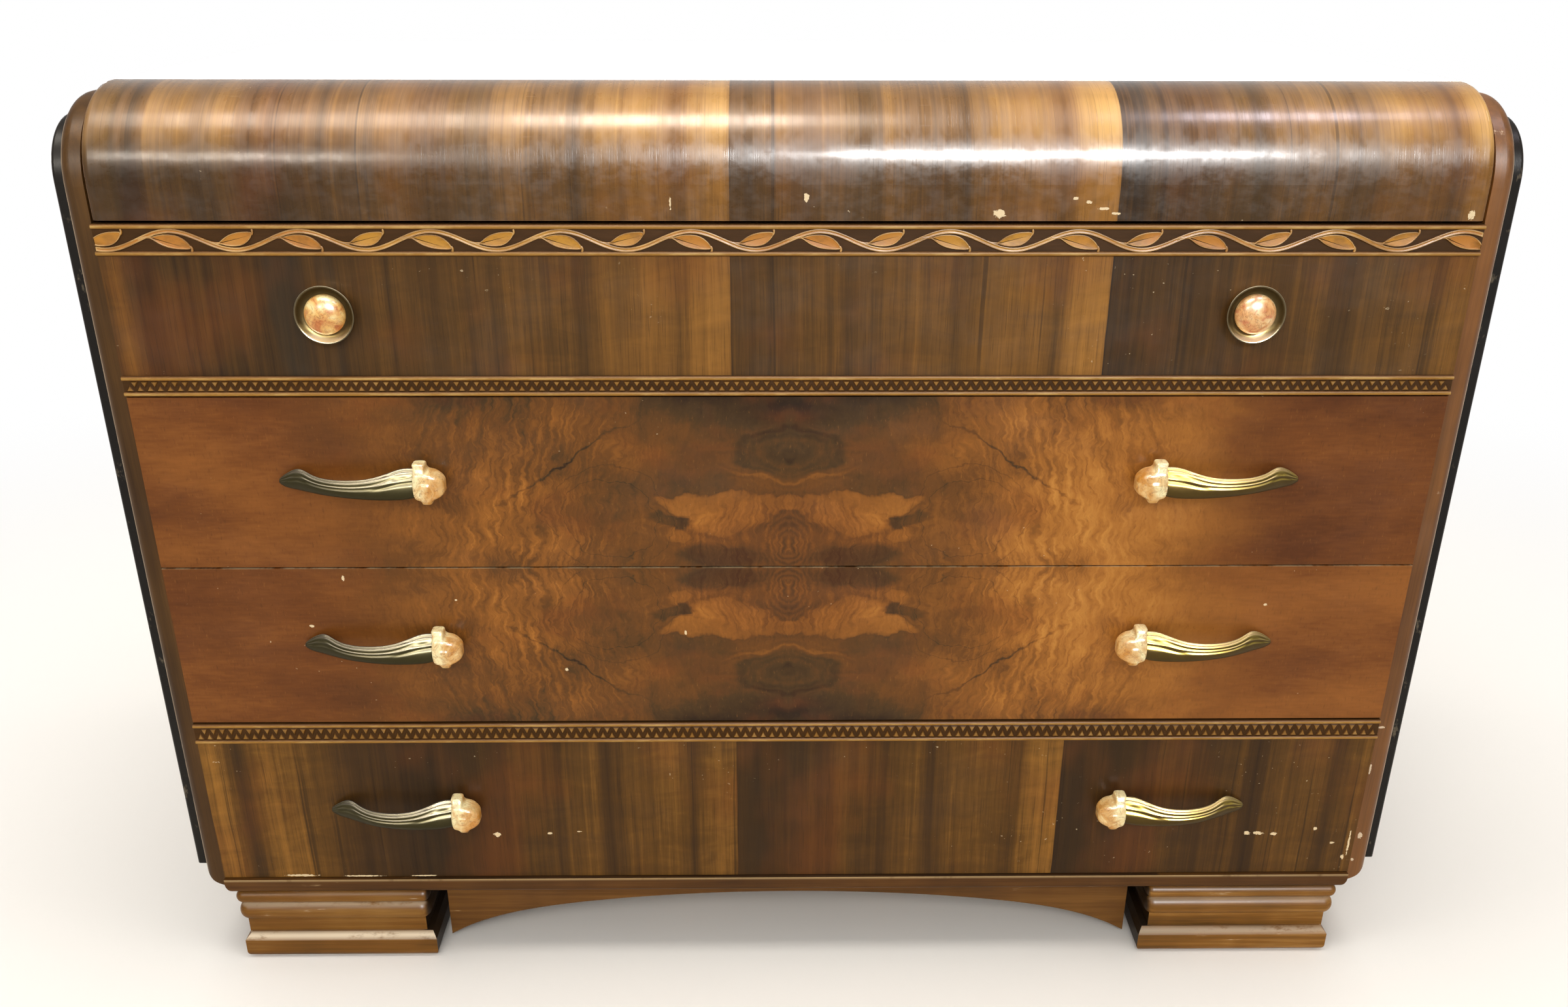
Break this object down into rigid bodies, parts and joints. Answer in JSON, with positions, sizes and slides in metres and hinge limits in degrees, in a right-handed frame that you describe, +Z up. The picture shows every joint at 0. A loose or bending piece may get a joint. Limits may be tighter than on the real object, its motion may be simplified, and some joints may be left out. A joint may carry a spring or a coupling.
{
  "type": "waterfall dresser",
  "caption": "Waterfall dresser in walnut veneer, with a rolled top, full-width drawers, carved mouldings, marbled knobs and pulls, and an arched apron between reeded feet.",
  "frame": {"origin": "on the floor, in the middle of the overall box in width and depth", "axes": "+Z up, -Y out of the drawer fronts, +X along the width towards the right as seen from the front"},
  "size_m": [1.1734, 0.5358, 0.841],
  "materials": {
    "top_veneer": "gloss lacquer",
    "straight_veneer": "satin lacquer",
    "burl_veneer": "satin lacquer",
    "stained_wood": "satin lacquer",
    "foot_wood": "worn satin lacquer",
    "ebonised_wood": "satin black lacquer",
    "vine_carving": "toned and wiped",
    "chip_carving": "toned and wiped",
    "inner_wood": "bare",
    "plywood": "bare",
    "aged_brass": "aged",
    "bright_brass": "worn bright",
    "dark_bronze": "darkened",
    "marbled_plastic": "marbled cream and orange",
    "screw_steel": "plain"
  },
  "bodies": {
    "case": {"side_panel_left": "stained_wood", "side_panel_right": "stained_wood", "side_overlay_left": "ebonised_wood", "side_overlay_right": "ebonised_wood", "waterfall_top": "top_veneer", "top_front_rail": "inner_wood", "top_cleats": "inner_wood", "bend_ribs": "inner_wood", "back_panel": "plywood", "divider_rail_1": "inner_wood", "divider_rail_2": "inner_wood", "divider_rail_3": "inner_wood", "drawer_runners": "inner_wood", "drawer_guides": "inner_wood", "base_rail": "stained_wood", "base_back_rail": "inner_wood", "apron": "stained_wood", "front_foot_left": "foot_wood", "front_foot_right": "foot_wood", "rear_feet": "inner_wood", "glue_blocks": "inner_wood"},
    "drawer_1": {"drawer_1_front": "straight_veneer", "drawer_1_sides": "inner_wood", "drawer_1_back": "inner_wood", "drawer_1_bottom": "plywood", "vine_moulding": "vine_carving", "chip_moulding_1": "chip_carving", "knob_cup_left": "aged_brass", "knob_cup_right": "aged_brass", "knob_stone_left": "marbled_plastic", "knob_stone_right": "marbled_plastic", "knob_screws": "screw_steel"},
    "drawer_2": {"drawer_2_front": "burl_veneer", "drawer_2_sides": "inner_wood", "drawer_2_back": "inner_wood", "drawer_2_bottom": "plywood", "pull_bar_2_left": "dark_bronze", "pull_bar_2_right": "bright_brass", "pull_cap_2_left": "marbled_plastic", "pull_cap_2_right": "marbled_plastic", "pull_screws_2": "screw_steel"},
    "drawer_3": {"drawer_3_front": "burl_veneer", "drawer_3_sides": "inner_wood", "drawer_3_back": "inner_wood", "drawer_3_bottom": "plywood", "pull_bar_3_left": "dark_bronze", "pull_bar_3_right": "bright_brass", "pull_cap_3_left": "marbled_plastic", "pull_cap_3_right": "marbled_plastic", "pull_screws_3": "screw_steel"},
    "drawer_4": {"drawer_4_front": "straight_veneer", "drawer_4_sides": "inner_wood", "drawer_4_back": "inner_wood", "drawer_4_bottom": "plywood", "chip_moulding_4": "chip_carving", "pull_bar_4_left": "dark_bronze", "pull_bar_4_right": "bright_brass", "pull_cap_4_left": "marbled_plastic", "pull_cap_4_right": "marbled_plastic", "pull_screws_4": "screw_steel"}
  },
  "joints": [
    {"name": "slide_1", "type": "slide", "parent": "case", "child": "drawer_1", "axis": [0, -1, 0], "range_m": [0, 0.34]},
    {"name": "slide_2", "type": "slide", "parent": "case", "child": "drawer_2", "axis": [0, -1, 0], "range_m": [0, 0.34]},
    {"name": "slide_3", "type": "slide", "parent": "case", "child": "drawer_3", "axis": [0, -1, 0], "range_m": [0, 0.34]},
    {"name": "slide_4", "type": "slide", "parent": "case", "child": "drawer_4", "axis": [0, -1, 0], "range_m": [0, 0.34]}
  ]
}
